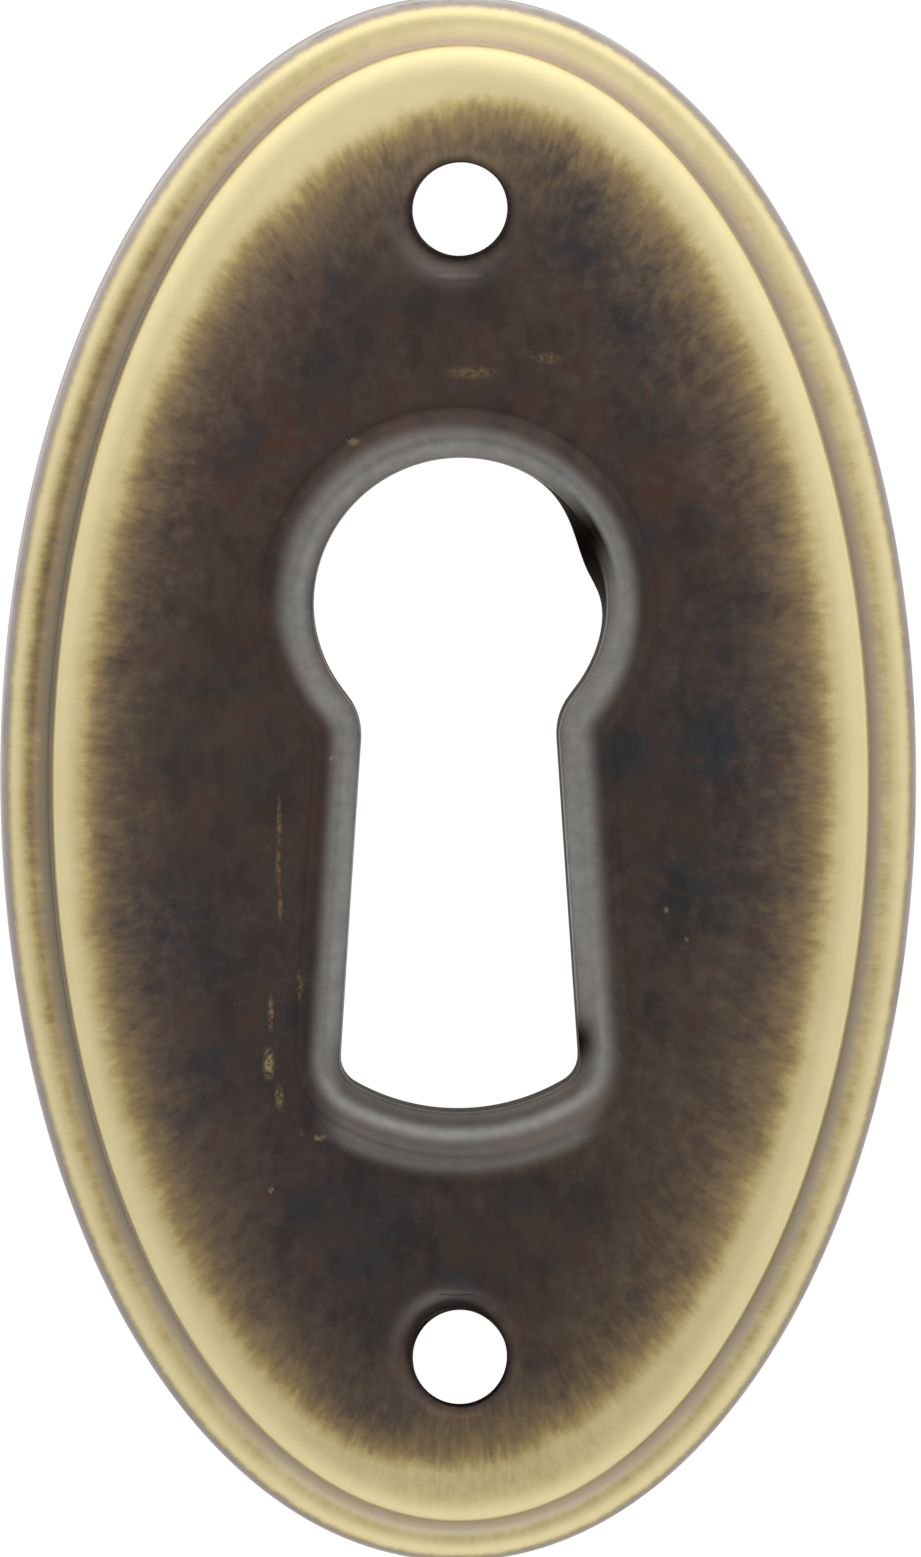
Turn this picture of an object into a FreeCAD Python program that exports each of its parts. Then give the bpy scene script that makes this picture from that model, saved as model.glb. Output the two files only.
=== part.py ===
import FreeCAD, Part
import Sketcher
import math
import os

# Keyhole escutcheon: an upright oval keyhole plate, pressed from one sheet of brass.
# Frame: the back of the rim lies on z = 0 and the show face looks along +Z.
# The long way of the oval is Y, with the round of the keyhole towards +Y.
# The origin is the middle of the oval, on the back. Lengths are millimetres, angles are degrees.

NODE = "escutcheon_plate"

# Each line: the size's name, its value, and what it measures.
DRIVING_SIZES = [
    ("plate_length", 38.1, "the oval along Y"),
    ("plate_width", 22.2, "the oval along X"),
    ("plate_end_curve", 1.17, "radius of the end arcs, over an ellipse's"),
    ("sheet_thickness", 0.6, "the brass sheet"),
    ("rim_bead_width", 0.8, "the bead, from the outline to the groove"),
    ("rim_outer_round", 0.5, "round on the outside of the bead"),
    ("rim_inner_round", 0.26, "round on the groove side of the bead"),
    ("groove_height", 1.45, "floor of the groove above the back"),
    ("rim_bead_rise", 0.25, "crest of the rim bead above the groove"),
    ("groove_corner_round", 0.12, "hollow corner between groove and riser"),
    ("shoulder_inset_side", 1.2, "from the outline to the riser, at the sides"),
    ("shoulder_inset_end", 1.08, "from the outline to the riser, at the ends"),
    ("shoulder_end_curve", 1.09, "radius of the end arcs, over an ellipse's"),
    ("oval_side_ease", 0.17, "how much flatter the side arcs are than in a four-arc oval"),
    ("oval_middle_curve", 1.05, "radius of the arcs between, over the mean of their neighbours"),
    ("shoulder_height", 2.2, "crest of the shoulder above the back"),
    ("shoulder_round", 0.36, "round over the top of the riser"),
    ("shoulder_crest_width", 0.65, "from the riser to the edge of the dish"),
    ("dish_edge_round", 0.9, "round between the crest and the dish"),
    ("dish_depth", 1.15, "middle of the dish below the crest"),
    ("keyhole_round_diameter", 7.1, "round of the keyhole"),
    ("keyhole_round_rise", 4.45, "middle of the round above the plate's middle"),
    ("keyhole_neck_width", 4.8, "the slot where it leaves the round"),
    ("keyhole_neck_radius", 1.55, "turn between the round and the slot"),
    ("keyhole_flare", 3.8, "lean of each side of the slot"),
    ("keyhole_foot_drop", 7.95, "bottom of the slot below the plate's middle"),
    ("keyhole_foot_radius", 5.0, "curve along the bottom of the slot"),
    ("keyhole_corner_radius", 0.75, "corners at the bottom of the slot"),
    ("lip_width", 0.88, "rolled lip, beside the keyhole"),
    ("lip_foot_width", 1.4, "rolled lip, below the keyhole"),
    ("lip_corner_radius", 2.0, "outer corners of the lip"),
    ("lip_rise", 0.9, "crest of the lip above the middle of the dish"),
    ("lip_outer_round", 0.4, "round on the outside of the lip"),
    ("lip_inner_round", 0.34, "round from the lip into the keyhole"),
    ("lip_root_round", 0.3, "hollow corner where the lip leaves the dish"),
    ("pin_hole_diameter", 2.3, "holes for the two fixing pins"),
    ("pin_hole_shift", 0.635, "pin holes, outward of halfway between the lip's foot and the dish's end"),
    ("pin_hole_round", 0.28, "drawn edge of each pin hole"),
]

document = FreeCAD.newDocument("keyhole_escutcheon")

sheet = document.addObject("Spreadsheet::Sheet", "Sizes")
for row, (alias, value, meaning) in enumerate(DRIVING_SIZES, start=1):
    sheet.set("A%d" % row, meaning)
    sheet.set("B%d" % row, str(value))
    sheet.setAlias("B%d" % row, alias)
document.recompute()


def number(rule):
    """The value of a rule, as the sheet's sizes stand."""
    return float(sheet.evalExpression(rule))


def oval_rules(length, width, end_curve):
    """The rules of an oval of eight tangent arcs that keeps close to an ellipse.

    Each end arc has an ellipse's radius there times end_curve. Each side arc is flatter by
    oval_side_ease than the one that would meet the end arc directly, in an oval of four arcs.
    The four arcs between have the geometric mean of both radii times oval_middle_curve.
    """
    half_length = "((" + length + ") / 2)"
    half_width = "((" + width + ") / 2)"
    end = "(" + end_curve + " * " + half_width + " ^ 2 / " + half_length + ")"
    squares = half_length + " ^ 2 + " + half_width + " ^ 2 - 2 * " + half_length + " * " + end
    side = "((1 + Sizes.oval_side_ease) * (" + squares + ") / (2 * (" + half_width + " - " + end + ")))"
    between = "(Sizes.oval_middle_curve * sqrt(" + side + " * " + end + "))"
    return {
        "end_radius": end,
        "side_radius": side,
        "between_radius": between,
        "end_middle": half_length + " - " + end,
        "side_middle": side + " - " + half_width,
    }


def inset_oval(oval, inset):
    """The rules of the parallel oval that lies inside another: the same middles, smaller radii."""
    smaller = dict(oval)
    for arc_radius in ("end_radius", "side_radius", "between_radius"):
        smaller[arc_radius] = oval[arc_radius] + " - " + inset
    return smaller


def sagging_radius(half_span):
    """The rule for the radius of an arc that sinks dish_depth over a half span."""
    return "((" + half_span + " ^ 2 + Sizes.dish_depth ^ 2) / (2 * Sizes.dish_depth))"


SHOULDER_LENGTH = "Sizes.plate_length - 2 * Sizes.shoulder_inset_end"
SHOULDER_WIDTH = "Sizes.plate_width - 2 * Sizes.shoulder_inset_side"
RIM_HEIGHT = "(Sizes.groove_height + Sizes.rim_bead_rise)"
DISH_HALF_LENGTH = "((" + SHOULDER_LENGTH + ") / 2 - Sizes.shoulder_crest_width)"
DISH_HALF_WIDTH = "((" + SHOULDER_WIDTH + ") / 2 - Sizes.shoulder_crest_width)"
DISH_FLOOR = "(Sizes.shoulder_height - Sizes.dish_depth)"
# The dish is hollowed to one radius across the plate and to a longer one along it.
DISH_ALONG = sagging_radius(DISH_HALF_LENGTH)
DISH_ACROSS = sagging_radius(DISH_HALF_WIDTH)
LIP_HEIGHT = "(" + DISH_FLOOR + " + Sizes.lip_rise)"
LIP_FOOT = "(Sizes.keyhole_foot_drop + Sizes.lip_foot_width)"
PIN_RISE = "((" + LIP_FOOT + " + " + DISH_HALF_LENGTH + ") / 2 + Sizes.pin_hole_shift)"
PLATE_OVAL = oval_rules("Sizes.plate_length", "Sizes.plate_width", "Sizes.plate_end_curve")
BEAD_OVAL = inset_oval(PLATE_OVAL, "Sizes.rim_bead_width")
SHOULDER_OVAL = oval_rules(SHOULDER_LENGTH, SHOULDER_WIDTH, "Sizes.shoulder_end_curve")
RIM_HOLLOW_OVAL = inset_oval(PLATE_OVAL, "Sizes.sheet_thickness")
SHOULDER_HOLLOW_OVAL = inset_oval(SHOULDER_OVAL, "Sizes.sheet_thickness")

# The largest share of its wall that a round may take.
FULLEST_ROUND = 0.93


def round_within(radius, *walls):
    """The rule of a round: its own size, or what its walls leave room for where that is less."""
    limits = ["%g * (%s)" % (FULLEST_ROUND, wall) for wall in walls]
    return "min(" + "; ".join([radius] + limits) + ")"


RIM_OUTER_ROUND = round_within("Sizes.rim_outer_round", "Sizes.rim_bead_width", RIM_HEIGHT)
RIM_INNER_ROUND = round_within("Sizes.rim_inner_round", "Sizes.rim_bead_width - " + RIM_OUTER_ROUND,
                               "Sizes.rim_bead_rise")
GROOVE_CORNER_ROUND = round_within("Sizes.groove_corner_round",
                                   "Sizes.shoulder_inset_end - Sizes.rim_bead_width",
                                   "Sizes.shoulder_inset_side - Sizes.rim_bead_width")
SHOULDER_ROUND = round_within("Sizes.shoulder_round", "Sizes.shoulder_crest_width",
                              "Sizes.shoulder_height - Sizes.groove_height")
# The dish meets the crest at a slope of twice dish_depth over its half width.
CREST_FLAT = "(Sizes.shoulder_crest_width - " + SHOULDER_ROUND + ")"
DISH_EDGE_WALL = CREST_FLAT + " * " + DISH_HALF_WIDTH + " / (2 * Sizes.dish_depth)"
DISH_EDGE_ROUND = round_within("Sizes.dish_edge_round", DISH_EDGE_WALL)
# The dish climbs towards the foot of the lip and towards its sides, and leaves it this much less side.
LIP_HALF_WIDTH = "(Sizes.keyhole_round_diameter / 2 + Sizes.lip_width)"
CLIMB_ALONG = LIP_FOOT + " ^ 2 / (2 * " + DISH_ALONG + ")"
CLIMB_ACROSS = LIP_HALF_WIDTH + " ^ 2 / (2 * " + DISH_ACROSS + ")"
LIP_SIDE = "(Sizes.lip_rise - " + CLIMB_ALONG + " - " + CLIMB_ACROSS + ")"
# The roll and the root of the lip run into each other, so each may be larger than that side.
LIP_ROLL_REACH = "1.37 * " + LIP_SIDE
LIP_ROOT_REACH = "1.03 * " + LIP_SIDE
LIP_OUTER_ROUND = round_within("Sizes.lip_outer_round", "Sizes.lip_width", LIP_ROLL_REACH)
LIP_INNER_ROUND = round_within("Sizes.lip_inner_round", "Sizes.lip_width - " + LIP_OUTER_ROUND)
LIP_ROOT_ROUND = round_within("Sizes.lip_root_round", "Sizes.keyhole_neck_radius - Sizes.lip_width",
                              LIP_ROOT_REACH)
PIN_HOLE_ROUND = round_within("Sizes.pin_hole_round", "Sizes.sheet_thickness")


def origin_plane(body, role):
    """One of the body's own origin planes."""
    return next(item for item in body.Origin.OriginFeatures if item.Role == role)


def new_sketch(body, name):
    """An empty sketch on the back plane of a body."""
    sketch = body.newObject("Sketcher::SketchObject", name)
    sketch.AttachmentSupport = [(origin_plane(body, "XY_Plane"), "")]
    sketch.MapMode = "FlatFace"
    return sketch


def bind(sketch, constraint, name, rule):
    """Add a dimension, name it and tie it to a rule."""
    index = sketch.addConstraint(constraint)
    sketch.renameConstraint(index, name)
    sketch.setExpression("Constraints." + name, rule)


# How a sketch names the points of a curve, and the curves that it starts with.
START, END, MIDDLE = range(1, 4)
X_AXIS, Y_AXIS = range(-1, -3, -1)
ORIGIN = (X_AXIS, START)


def arc(middle, radius, start, end):
    """A circular arc, turning anticlockwise from the start angle to the end angle."""
    return Part.ArcOfCircle(Part.Circle(middle, FreeCAD.Vector(0, 0, 1), radius), start, end)


def join_round(sketch, joins):
    """Make each pair of curve ends meet and run on in one direction."""
    for first, first_end, second, second_end in joins:
        sketch.addConstraint(Sketcher.Constraint("Tangent", first, first_end, second, second_end))


def add_oval(sketch, name, oval):
    """An oval of eight tangent arcs about the origin, long way up, tied to its rules.

    The arcs go round anticlockwise: right side, upper right, top end, upper left, and so on.
    """
    end_radius = number(oval["end_radius"])
    side_radius = number(oval["side_radius"])
    between_radius = number(oval["between_radius"])
    end_y = number(oval["end_middle"])
    side_x = number(oval["side_middle"])

    # The arc between has its middle inside the line from the far side's middle to the end's.
    side = FreeCAD.Vector(-side_x, 0, 0)
    top = FreeCAD.Vector(0, end_y, 0)
    line = top - side
    to_side = side_radius - between_radius
    to_end = between_radius - end_radius
    along = (to_side ** 2 - to_end ** 2 + line.Length ** 2) / (2 * line.Length)
    across = math.sqrt(to_side ** 2 - along ** 2)
    unit = line / line.Length
    between = side + unit * along + FreeCAD.Vector(unit.y, -unit.x, 0) * across
    low = math.atan2(between.y - side.y, between.x - side.x)
    high = math.atan2(top.y - between.y, top.x - between.x)

    half_turn = math.pi
    add = sketch.addGeometry
    corner = [FreeCAD.Vector(between.x * east, between.y * north, 0)
              for east, north in ((1, 1), (-1, 1), (-1, -1), (1, -1))]
    arcs = [
        add(arc(side, side_radius, -low, low)),
        add(arc(corner[0], between_radius, low, high)),
        add(arc(top, end_radius, high, half_turn - high)),
        add(arc(corner[1], between_radius, half_turn - high, half_turn - low)),
        add(arc(-side, side_radius, half_turn - low, half_turn + low)),
        add(arc(corner[2], between_radius, half_turn + low, half_turn + high)),
        add(arc(-top, end_radius, half_turn + high, 2 * half_turn - high)),
        add(arc(corner[3], between_radius, -high, -low)),
    ]
    right, upper, top_end, _, left, _, foot_end, _ = arcs
    sames = [(right, left), (top_end, foot_end)] + [(upper, arcs[turn]) for turn in (3, 5, 7)]
    join_round(sketch, [(arcs[turn - 1], END, arcs[turn], START) for turn in range(8)])
    for curve, axis in ((right, X_AXIS), (left, X_AXIS), (top_end, Y_AXIS), (foot_end, Y_AXIS)):
        sketch.addConstraint(Sketcher.Constraint("PointOnObject", curve, MIDDLE, axis))
    for first, second in sames:
        sketch.addConstraint(Sketcher.Constraint("Equal", first, second))
    bind(sketch, Sketcher.Constraint("Radius", right, side_radius), name + "_side", oval["side_radius"])
    bind(sketch, Sketcher.Constraint("Radius", upper, between_radius),
         name + "_between", oval["between_radius"])
    bind(sketch, Sketcher.Constraint("Radius", top_end, end_radius), name + "_end", oval["end_radius"])
    bind(sketch, Sketcher.Constraint("DistanceX", right, MIDDLE, *ORIGIN, side_x),
         name + "_right_middle", oval["side_middle"])
    bind(sketch, Sketcher.Constraint("DistanceX", *ORIGIN, left, MIDDLE, side_x),
         name + "_left_middle", oval["side_middle"])
    bind(sketch, Sketcher.Constraint("DistanceY", *ORIGIN, top_end, MIDDLE, end_y),
         name + "_top_middle", oval["end_middle"])
    bind(sketch, Sketcher.Constraint("DistanceY", foot_end, MIDDLE, *ORIGIN, end_y),
         name + "_foot_middle", oval["end_middle"])


def mirrored(point):
    """The same point on the other side of the plate's long axis."""
    return FreeCAD.Vector(-point.x, point.y, 0)


def add_keyhole(sketch, grow, foot_grow, corner):
    """A keyhole outline, grown by one rule beside the pierced one and by another below it.

    Going round: the round, a hollow turn at the neck, a leaning side, a corner and the curved
    foot, each tangent to the next, and the same again up the other side. Every point is first
    worked out where the dimensions will hold it.
    """
    round_rule = "Sizes.keyhole_round_diameter / 2 + " + grow
    neck_rule = "Sizes.keyhole_neck_radius - (" + grow + ")"
    foot_rule = "Sizes.keyhole_foot_radius + " + foot_grow
    drop_rule = "Sizes.keyhole_foot_radius - Sizes.keyhole_foot_drop"
    reach_rule = "Sizes.keyhole_neck_width / 2 + (" + grow + ") * cos(Sizes.keyhole_flare)"
    round_radius = number(round_rule)
    neck_radius = number(neck_rule)
    foot_radius = number(foot_rule)
    corner_radius = number(corner)
    reach = number(reach_rule)
    lean = math.radians(number("Sizes.keyhole_flare"))
    outward = FreeCAD.Vector(math.cos(lean), math.sin(lean), 0)
    down_side = FreeCAD.Vector(math.sin(lean), -math.cos(lean), 0)
    round_middle = FreeCAD.Vector(0, number("Sizes.keyhole_round_rise"), 0)
    foot_middle = FreeCAD.Vector(0, number(drop_rule), 0)

    # The neck's middle is one round radius and one neck radius away from the round's middle.
    neck_x = reach + neck_radius * math.cos(lean)
    neck_drop = math.sqrt((round_radius + neck_radius) ** 2 - neck_x ** 2)
    neck = round_middle + FreeCAD.Vector(neck_x, -neck_drop, 0)
    side_top = neck - outward * neck_radius

    # The corner's middle is one corner radius inside the side, and the same inside the foot.
    corner_reach = (side_top - foot_middle).dot(outward) - corner_radius
    corner_run = math.sqrt((foot_radius - corner_radius) ** 2 - corner_reach ** 2)
    corner_middle = foot_middle + outward * corner_reach + down_side * corner_run
    side_foot = corner_middle + outward * corner_radius

    half_turn = math.pi
    neck_angle = math.atan2(-neck_drop, neck_x)
    corner_angle = math.atan2(corner_middle.y - foot_middle.y, corner_middle.x)
    add = sketch.addGeometry
    top = add(arc(round_middle, round_radius, neck_angle, half_turn - neck_angle))
    right_neck = add(arc(neck, neck_radius, half_turn + neck_angle, half_turn + lean))
    right_side = add(Part.LineSegment(side_top, side_foot))
    right_corner = add(arc(corner_middle, corner_radius, corner_angle, lean))
    foot = add(arc(foot_middle, foot_radius, half_turn - corner_angle, 2 * half_turn + corner_angle))
    left_corner = add(arc(mirrored(corner_middle), corner_radius, half_turn - lean, half_turn - corner_angle))
    left_side = add(Part.LineSegment(mirrored(side_top), mirrored(side_foot)))
    left_neck = add(arc(mirrored(neck), neck_radius, -lean, -neck_angle))

    join_round(sketch, [
        (top, START, right_neck, START),
        (right_neck, END, right_side, START),
        (right_side, END, right_corner, END),
        (right_corner, START, foot, END),
        (foot, START, left_corner, END),
        (left_corner, START, left_side, END),
        (left_side, START, left_neck, START),
        (left_neck, END, top, END),
    ])
    for curve in (top, foot):
        sketch.addConstraint(Sketcher.Constraint("PointOnObject", curve, MIDDLE, Y_AXIS))
    sketch.addConstraint(Sketcher.Constraint("Equal", right_neck, left_neck))
    sketch.addConstraint(Sketcher.Constraint("Equal", right_corner, left_corner))
    sketch.addConstraint(Sketcher.Constraint("Symmetric", right_side, START, left_side, START, Y_AXIS))
    bind(sketch, Sketcher.Constraint("Radius", top, round_radius), "round_radius", round_rule)
    bind(sketch, Sketcher.Constraint("Radius", right_neck, neck_radius), "neck_radius", neck_rule)
    bind(sketch, Sketcher.Constraint("Radius", right_corner, corner_radius), "corner_radius", corner)
    bind(sketch, Sketcher.Constraint("Radius", foot, foot_radius), "foot_radius", foot_rule)
    bind(sketch, Sketcher.Constraint("DistanceY", *ORIGIN, top, MIDDLE, round_middle.y),
         "round_rise", "Sizes.keyhole_round_rise")
    bind(sketch, Sketcher.Constraint("DistanceY", *ORIGIN, foot, MIDDLE, foot_middle.y),
         "foot_middle", drop_rule)
    bind(sketch, Sketcher.Constraint("DistanceX", *ORIGIN, right_side, START, reach),
         "neck_reach", reach_rule)
    bind(sketch, Sketcher.Constraint("Angle", right_side, START, Y_AXIS, START, half_turn - lean),
         "side_lean", "180 - Sizes.keyhole_flare")


def raise_up(body, name, sketch, height):
    """Raise a sketch straight up from the back."""
    feature = body.newObject("PartDesign::Pad", name)
    feature.Profile = sketch
    feature.setExpression("Length", height)
    document.recompute()
    return feature


def raise_oval(body, name, oval, height):
    """A plate of oval outline, from the back up to a height."""
    sketch = new_sketch(body, name + "_outline")
    add_oval(sketch, name, oval)
    return raise_up(body, name, sketch, height)


def raise_keyhole(body, name, grow, foot_grow, corner, height):
    """A plate of keyhole outline, from the back up to a height."""
    sketch = new_sketch(body, name + "_outline")
    add_keyhole(sketch, grow, foot_grow, corner)
    return raise_up(body, name, sketch, height)


def pierce(body, name, sketch):
    """Cut a sketch straight up through the whole plate."""
    feature = body.newObject("PartDesign::Pocket", name)
    feature.Profile = sketch
    feature.Reversed = True
    feature.setExpression("Length", "Sizes.shoulder_height + " + LIP_HEIGHT)
    document.recompute()
    return feature


def press_dish(body, name, drop):
    """Turn the long arc of the dish about a line above the plate, and take that off the body.

    The line runs along Y, one cross radius above the floor of the dish. The drop lowers it all.
    """
    floor_rule = DISH_FLOOR + " - " + drop
    run_rule = "(" + SHOULDER_LENGTH + ") / 2"
    middle_rule = floor_rule + " + " + DISH_ALONG
    axis_rule = floor_rule + " + " + DISH_ACROSS
    along = number(DISH_ALONG)
    run = number(run_rule)
    arc_middle = number(middle_rule)
    axis_height = number(axis_rule)
    half_angle = math.asin(run / along)
    rise = arc_middle - along * math.cos(half_angle)

    sketch = body.newObject("Sketcher::SketchObject", name + "_outline")
    sketch.AttachmentSupport = [(origin_plane(body, "YZ_Plane"), "")]
    sketch.MapMode = "FlatFace"
    quarter_turn = math.pi / 2
    corners = [
        FreeCAD.Vector(run, rise, 0),
        FreeCAD.Vector(run, axis_height, 0),
        FreeCAD.Vector(-run, axis_height, 0),
        FreeCAD.Vector(-run, rise, 0),
    ]
    add = sketch.addGeometry
    middle = FreeCAD.Vector(0, arc_middle, 0)
    low = add(arc(middle, along, -quarter_turn - half_angle, -quarter_turn + half_angle))
    right, over, left = [add(Part.LineSegment(*corners[corner:corner + 2])) for corner in range(3)]
    for first, second in ((low, right), (right, over), (over, left), (left, low)):
        sketch.addConstraint(Sketcher.Constraint("Coincident", first, END, second, START))
    sketch.addConstraint(Sketcher.Constraint("Vertical", right))
    sketch.addConstraint(Sketcher.Constraint("Vertical", left))
    sketch.addConstraint(Sketcher.Constraint("Horizontal", over))
    sketch.addConstraint(Sketcher.Constraint("PointOnObject", low, MIDDLE, Y_AXIS))
    bind(sketch, Sketcher.Constraint("Radius", low, along), "along", DISH_ALONG)
    bind(sketch, Sketcher.Constraint("DistanceY", *ORIGIN, low, MIDDLE, arc_middle),
         "arc_middle", middle_rule)
    bind(sketch, Sketcher.Constraint("DistanceY", *ORIGIN, over, START, axis_height), "axis", axis_rule)
    bind(sketch, Sketcher.Constraint("DistanceX", *ORIGIN, right, START, run), "run", run_rule)
    bind(sketch, Sketcher.Constraint("DistanceX", left, START, *ORIGIN, run), "run_back", run_rule)

    feature = body.newObject("PartDesign::Groove", name)
    feature.Profile = sketch
    feature.ReferenceAxis = (sketch, ["Edge%d" % (over + 1)])
    feature.Angle = 90
    feature.Midplane = True
    document.recompute()
    return feature


def edges_where(feature, lowest, highest, is_there):
    """Names of the feature's edges between two heights whose points all pass a test in plan.

    Edges that stand upright are left out, and so are poles.
    """
    names = []
    for count, edge in enumerate(feature.Shape.Edges, start=1):
        if edge.Degenerated or edge.BoundBox.ZLength > edge.Length / 2:
            continue
        if edge.BoundBox.ZMin < lowest or edge.BoundBox.ZMax > highest:
            continue
        shadows = [Part.Vertex(point.x, point.y, 0) for point in edge.discretize(Number=9)]
        if all(is_there(shadow) for shadow in shadows):
            names.append("Edge%d" % count)
    return names


def on_line(outline):
    """A test in plan: does the point lie on a sketch's line?"""
    closeness = 0.005
    return lambda shadow: outline.Shape.distToShape(shadow)[0] < closeness


def away_from_line(outline, least):
    """A test in plan: does the point lie further than this from a sketch's line?"""
    return lambda shadow: outline.Shape.distToShape(shadow)[0] > least


def round_over(body, name, base, edges, radius):
    """Round some edges of the last feature."""
    feature = body.newObject("PartDesign::Fillet", name)
    feature.Base = (base, edges)
    feature.setExpression("Radius", radius)
    document.recompute()
    return feature


def edges_at(feature, level, is_there):
    """Names of the feature's edges at one height that pass a test in plan."""
    height = number(level)
    leeway = 0.01
    return edges_where(feature, height - leeway, height + leeway, is_there)


# The pressed front, solid down to the back for now: groove floor, rim bead, raised shoulder.
plate = document.addObject("PartDesign::Body", "plate_body")
plate.Label = NODE
raise_oval(plate, "groove_floor", PLATE_OVAL, "Sizes.groove_height")
bead_outline = new_sketch(plate, "rim_bead_outline")
add_oval(bead_outline, "outer", PLATE_OVAL)
add_oval(bead_outline, "inner", BEAD_OVAL)
raise_up(plate, "rim_bead", bead_outline, RIM_HEIGHT)
front = raise_oval(plate, "shoulder", SHOULDER_OVAL, "Sizes.shoulder_height")
on_plate_outline = on_line(document.getObject("groove_floor_outline"))
shoulder_outline = document.getObject("shoulder_outline")
front = round_over(plate, "rim_outer_roll", front, edges_at(front, RIM_HEIGHT, on_plate_outline),
                   RIM_OUTER_ROUND)
front = round_over(plate, "rim_inner_roll", front, edges_at(front, RIM_HEIGHT, on_line(bead_outline)),
                   RIM_INNER_ROUND)
front = round_over(plate, "groove_corner", front,
                   edges_at(front, "Sizes.groove_height", on_line(shoulder_outline)), GROOVE_CORNER_ROUND)
front = round_over(plate, "shoulder_roll", front,
                   edges_at(front, "Sizes.shoulder_height", on_line(shoulder_outline)), SHOULDER_ROUND)

# The dish inside the shoulder, its edge rolled into the crest.
front = press_dish(plate, "dish", "0")
roll_end = number("Sizes.shoulder_crest_width - " + CREST_FLAT + " / 2")
past_the_roll = away_from_line(shoulder_outline, roll_end)
front = round_over(plate, "dish_edge", front, edges_at(front, "Sizes.shoulder_height", past_the_roll),
                   DISH_EDGE_ROUND)

# The lip stands out of the dish round the keyhole, with a hollow corner at its root.
front = raise_keyhole(plate, "lip", "Sizes.lip_width", "Sizes.lip_foot_width", "Sizes.lip_corner_radius",
                      LIP_HEIGHT)
on_lip_outline = on_line(document.getObject("lip_outline"))
front = round_over(plate, "lip_outer_roll", front, edges_at(front, LIP_HEIGHT, on_lip_outline),
                   LIP_OUTER_ROUND)
below_the_roll = number(LIP_HEIGHT + " - " + LIP_OUTER_ROUND)
front = round_over(plate, "lip_root", front, edges_where(front, 0, below_the_roll, on_lip_outline),
                   LIP_ROOT_ROUND)

# The hollow behind it all: each form of the front, one sheet lower and one sheet further in.
hollow = document.addObject("PartDesign::Body", "hollow_body")
raise_oval(hollow, "behind_rim", RIM_HOLLOW_OVAL, "Sizes.groove_height - Sizes.sheet_thickness")
raise_oval(hollow, "behind_shoulder", SHOULDER_HOLLOW_OVAL, "Sizes.shoulder_height - Sizes.sheet_thickness")
press_dish(hollow, "behind_dish", "Sizes.sheet_thickness")
raise_keyhole(hollow, "behind_lip", "Sizes.lip_width - Sizes.sheet_thickness",
              "Sizes.lip_foot_width - Sizes.sheet_thickness",
              "Sizes.lip_corner_radius - Sizes.sheet_thickness",
              LIP_HEIGHT + " - Sizes.sheet_thickness")
pressed = plate.newObject("PartDesign::Boolean", "hollow_back")
pressed.setObjects([hollow])
pressed.Type = "Cut"
document.recompute()

# The keyhole, pierced through the lip, and the roll from the lip down into it.
keyhole_outline = new_sketch(plate, "keyhole_outline")
add_keyhole(keyhole_outline, "0", "0", "Sizes.keyhole_corner_radius")
pierced = pierce(plate, "keyhole", keyhole_outline)
pierced = round_over(plate, "lip_inner_roll", pierced,
                     edges_at(pierced, LIP_HEIGHT, on_line(keyhole_outline)), LIP_INNER_ROUND)

# The two pin holes on the long axis, their front edges drawn in by the punch.
pin_outline = new_sketch(plate, "pin_hole_outline")
pin_radius = number("Sizes.pin_hole_diameter / 2")
pin_rise = number(PIN_RISE)
upper, lower = [
    pin_outline.addGeometry(Part.Circle(FreeCAD.Vector(0, rise, 0), FreeCAD.Vector(0, 0, 1), pin_radius))
    for rise in (pin_rise, -pin_rise)]
pin_outline.addConstraint(Sketcher.Constraint("PointOnObject", upper, MIDDLE, Y_AXIS))
pin_outline.addConstraint(Sketcher.Constraint("Symmetric", upper, MIDDLE, lower, MIDDLE, *ORIGIN))
pin_outline.addConstraint(Sketcher.Constraint("Equal", upper, lower))
bind(pin_outline, Sketcher.Constraint("Diameter", upper, 2 * pin_radius),
     "diameter", "Sizes.pin_hole_diameter")
bind(pin_outline, Sketcher.Constraint("DistanceY", *ORIGIN, upper, MIDDLE, pin_rise), "rise", PIN_RISE)
pierced = pierce(plate, "pin_holes", pin_outline)
dish_along = number(DISH_ALONG)
dish_at_pins = number(DISH_FLOOR) + dish_along - math.sqrt(dish_along ** 2 - pin_rise ** 2)
middle_of_sheet = dish_at_pins - number("Sizes.sheet_thickness") / 2
front_edges = edges_where(pierced, middle_of_sheet, number("Sizes.shoulder_height"), on_line(pin_outline))
round_over(plate, "pin_hole_edges", pierced, front_edges, PIN_HOLE_ROUND)

# Every feature has to have been made, and the plate has to be one sound solid.
document.recompute()
failed = [item.Name for item in document.Objects if "Invalid" in item.State or "Error" in item.State]
if failed:
    raise RuntimeError("features that failed: " + ", ".join(failed))
if plate.Shape.isNull() or not plate.Shape.isValid() or len(plate.Shape.Solids) != 1:
    raise RuntimeError("the plate is not one sound solid")

os.makedirs("parts", exist_ok=True)
plate.Shape.exportStep("parts/" + NODE + ".step")
box = plate.Shape.optimalBoundingBox()
print("%s: %.3f x %.3f x %.3f mm" % (NODE, box.XLength, box.YLength, box.ZLength))
print("volume %.2f cubic mm" % plate.Shape.Volume)
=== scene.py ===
import math

import bpy
import numpy as np
from mathutils import Matrix, Vector


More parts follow.
